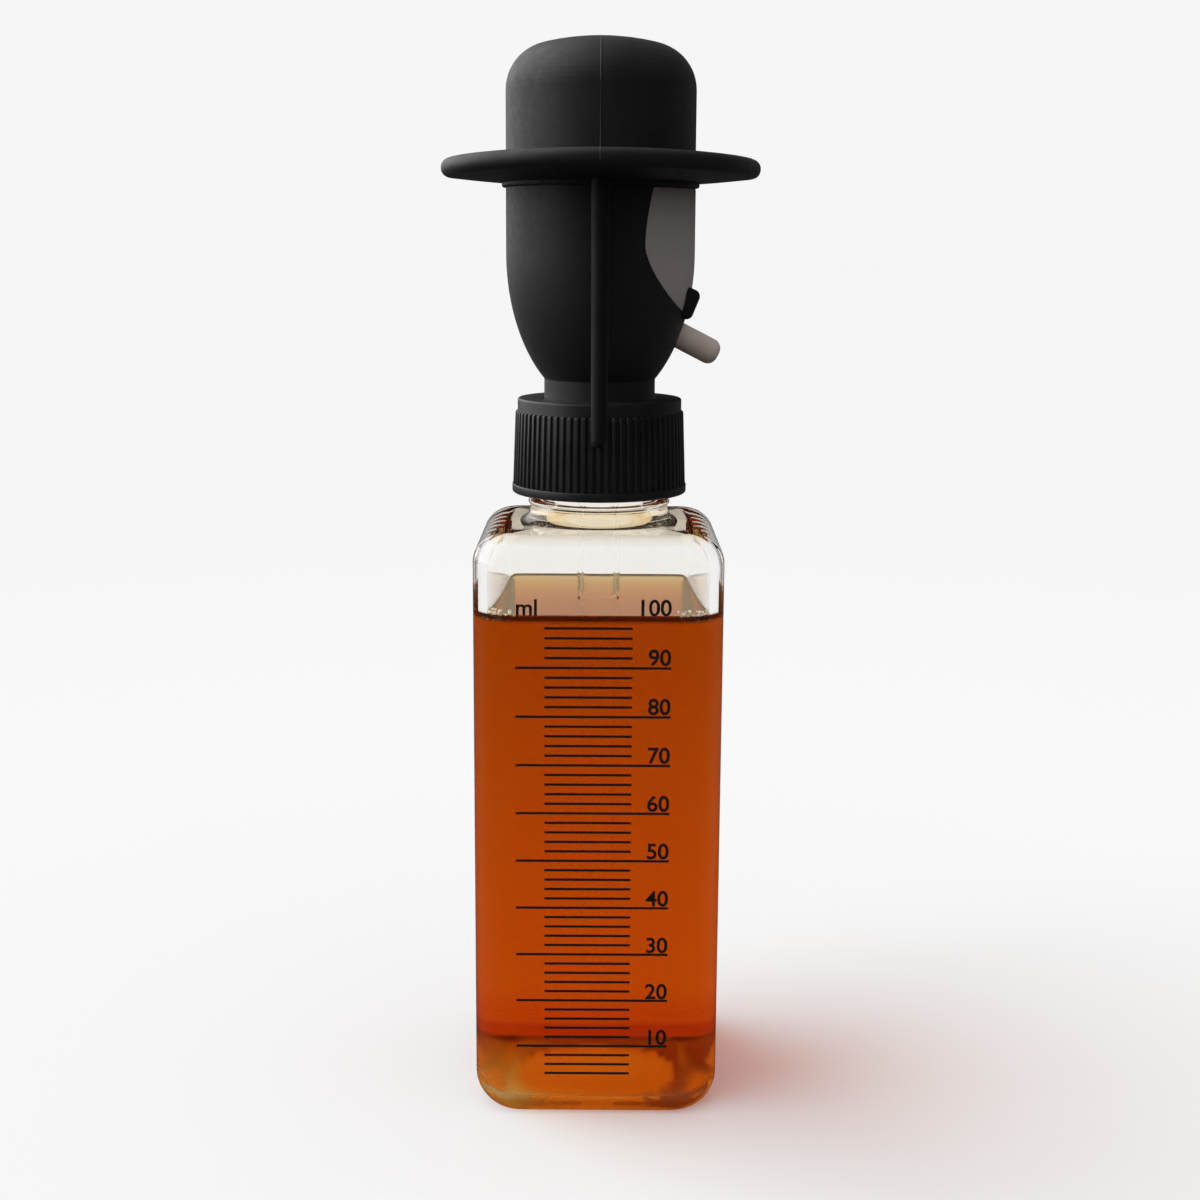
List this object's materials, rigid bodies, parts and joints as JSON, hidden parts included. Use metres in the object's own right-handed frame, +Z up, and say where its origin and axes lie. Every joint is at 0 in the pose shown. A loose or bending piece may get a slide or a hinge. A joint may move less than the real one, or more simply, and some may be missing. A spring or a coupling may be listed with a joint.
{
  "type": "medicine dropper",
  "caption": "Square graduated glass bottle with a ribbed screw cap and a dropper whose squeeze bulb is a plain hatted head.",
  "frame": {"origin": "middle of the bottle's underside, on the surface that it stands on", "axes": "+Z up along the bottle and the pipette, +X the way the head faces, -Y the side with the printed scale"},
  "size_m": [0.0512, 0.0512, 0.1733],
  "materials": {
    "clear_glass": "clear moulded flint glass, polished by fire",
    "amber_liquid": "clear orange-brown liquid",
    "black_ink": "screen-printed ceramic ink",
    "cap_plastic": "black moulded polypropylene, satin",
    "washer_rubber": "soft pale sealing rubber",
    "natural_plastic": "unpigmented polyethylene",
    "pipette_glass": "clear drawn glass tube",
    "black_silicone": "matte black silicone",
    "hat_silicone": "matte black silicone with a fine mould seam",
    "band_silicone": "matte black silicone",
    "grey_silicone": "smooth matte grey silicone",
    "bar_silicone": "matte black silicone",
    "beige_plastic": "matte beige plastic",
    "strand_silicone": "matte black silicone"
  },
  "bodies": {
    "bottle": {"glass_bottle": "clear_glass", "liquid_fill": "amber_liquid", "scale_print": "black_ink"},
    "seal": {"sealing_washer": "washer_rubber"},
    "cap": {"screw_cap": "cap_plastic"},
    "dropper": {"pipette_holder": "natural_plastic", "glass_pipette": "pipette_glass", "squeeze_bulb": "black_silicone", "hat_shell": "hat_silicone", "hat_band": "band_silicone"},
    "face": {"face_panel": "grey_silicone", "face_bar": "bar_silicone", "pale_rod": "beige_plastic"},
    "strand_near": {"side_strand_near": "strand_silicone"},
    "strand_far": {"side_strand_far": "strand_silicone"}
  },
  "joints": [
    {"name": "cap_rise", "type": "slide", "parent": "bottle", "child": "seal", "axis": [0, 0, 1], "range_m": [0, 0.00477]},
    {"name": "cap_turn", "type": "hinge", "parent": "seal", "child": "cap", "pos_m": [0, 0, 0.108], "axis": [0, 0, 1], "range_deg": [0, 540]},
    {"name": "head_swivel", "type": "hinge", "parent": "seal", "child": "dropper", "pos_m": [0, 0, 0.114], "axis": [0, 0, 1], "continuous": true},
    {"name": "bulb_squeeze", "type": "slide", "parent": "dropper", "child": "face", "axis": [-1, 0, 0], "range_m": [0, 0.004], "stiffness_N_per_m": 120, "deforming": ["squeeze_bulb"]},
    {"name": "strand_near_swing", "type": "hinge", "parent": "dropper", "child": "strand_near", "pos_m": [0, -0.01745, 0.1507], "axis": [1, 0, 0], "range_deg": [-25, 0], "stiffness_Nm_per_rad": 0.0004},
    {"name": "strand_far_swing", "type": "hinge", "parent": "dropper", "child": "strand_far", "pos_m": [0, 0.01745, 0.1507], "axis": [1, 0, 0], "range_deg": [0, 25], "stiffness_Nm_per_rad": 0.0004}
  ],
  "couplings": [
    {"joint": "cap_turn", "follows": "cap_rise", "rad_per_m": 1975.8}
  ]
}
